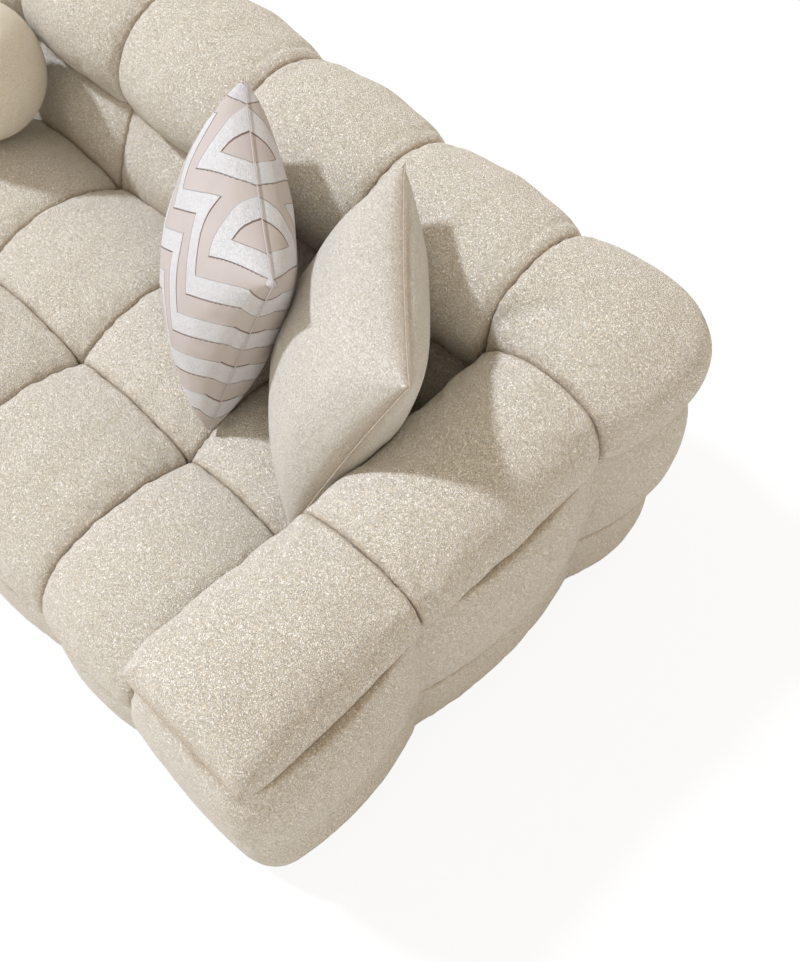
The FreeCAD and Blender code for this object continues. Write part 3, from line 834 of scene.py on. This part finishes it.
def press_covers(covers, shapes):
    """Covers give way where a cushion lies against them."""
    for pillow in shapes:
        mesh = pillow.data
        points = positions(mesh)
        skin = BVHTree.FromPolygons(points.tolist(), [list(p.vertices) for p in mesh.polygons])
        low, high = points.min(axis=0) - press_margin, points.max(axis=0) + press_margin
        for made, _, _ in covers:
            cover = positions(made.data)
            near = np.nonzero(((cover > low) & (cover < high)).all(axis=1))[0]
            for i in near:
                spot, way, _, gap = skin.find_nearest(Vector(cover[i]))
                out = Vector(cover[i]) - spot
                if gap < press_reach and out.dot(way) < press_gap:
                    cover[i] = spot + way * press_gap
            if len(near):
                set_positions(made.data, cover)


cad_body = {node: body for body, members in record["behaviour"]["bodies"].items() for node in members}
covers = make_covers()
squares = make_cushions()
swell_covers(covers, squares)
for made, node, sides in covers:
    finish_piece(made, slot_of[node], "sofa")
    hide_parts(node)

# The inner pieces keep their CAD form
for name, cad in nodes.items():
    if name not in soft_nodes and name not in cushion_nodes:
        cad.data.materials.clear()
        cad.data.materials.append(materials[slot_of[name]])


# Floor, light and camera
def seen_directly(tree):
    """One for rays from the camera and for those that metal or glass pass on."""
    paths = add_node(tree, "ShaderNodeLightPath")
    total = math_node(tree, "MAXIMUM", paths.outputs["Is Camera Ray"], paths.outputs["Is Glossy Ray"])
    return math_node(tree, "MAXIMUM", total, paths.outputs["Is Transmission Ray"])


def make_floor():
    half = floor_half
    corners = [(-half, -half, 0), (half, -half, 0), (half, half, 0), (-half, half, 0)]
    floor = new_object("floor", corners, [(0, 1, 2, 3)])
    material, tree, shader = new_material("studio_floor")
    output = tree.nodes["Material Output"]
    glow = add_node(tree, "ShaderNodeEmission", in_Color=white)
    mixed = add_node(tree, "ShaderNodeMixShader")
    shader.inputs["Base Color"].default_value = (*linear(250, 250, 250), 1.0)
    shader.inputs["Roughness"].default_value = 0.9
    join(tree, math_node(tree, "MULTIPLY", seen_directly(tree), floor_white_share), mixed.inputs[0])
    join(tree, shader.outputs[0], mixed.inputs[1])
    join(tree, glow.outputs[0], mixed.inputs[2])
    join(tree, mixed.outputs[0], output.inputs["Surface"])
    floor.data.materials.append(material)


def make_light():
    world = bpy.data.worlds.new("studio")
    scene.world = world
    world.use_nodes = True
    tree = world.node_tree
    background = tree.nodes["Background"]
    background.inputs["Color"].default_value = (*room_colour, 1.0)
    background.inputs["Strength"].default_value = room_strength
    seen = add_node(tree, "ShaderNodeBackground", in_Color=white)
    mixed = add_node(tree, "ShaderNodeMixShader")
    join(tree, seen_directly(tree), mixed.inputs[0])
    join(tree, background.outputs[0], mixed.inputs[1])
    join(tree, seen.outputs[0], mixed.inputs[2])
    join(tree, mixed.outputs[0], tree.nodes["World Output"].inputs["Surface"])
    lamp = bpy.data.lights.new("key", "SUN")
    lamp.energy = key_strength
    lamp.angle = math.radians(key_angle)
    lamp.color = key_colour
    key = bpy.data.objects.new("key", lamp)
    scene.collection.objects.link(key)
    key.rotation_mode = "QUATERNION"
    key.rotation_quaternion = Vector(key_way).to_track_quat("-Z", "Y")


def make_camera():
    a, e = math.radians(camera_azimuth), math.radians(camera_elevation)
    back = Vector((math.sin(a) * math.cos(e), -math.cos(a) * math.cos(e), math.sin(e)))
    right = (-back).cross(Vector((0, 0, 1))).normalized()
    up = right.cross(-back)
    r = math.radians(camera_roll)
    side = math.cos(r) * right + math.sin(r) * up
    top = -math.sin(r) * right + math.cos(r) * up
    lens = bpy.data.cameras.new("camera")
    lens.lens = camera_lens
    lens.sensor_width = 36.0
    camera = bpy.data.objects.new("camera", lens)
    scene.collection.objects.link(camera)
    camera.matrix_world = Matrix((
        (side.x, top.x, back.x, camera_place[0]), (side.y, top.y, back.y, camera_place[1]),
        (side.z, top.z, back.z, camera_place[2]), (0, 0, 0, 1)))
    scene.camera = camera


make_floor()
make_light()
make_camera()
scene.view_settings.view_transform = "Standard"
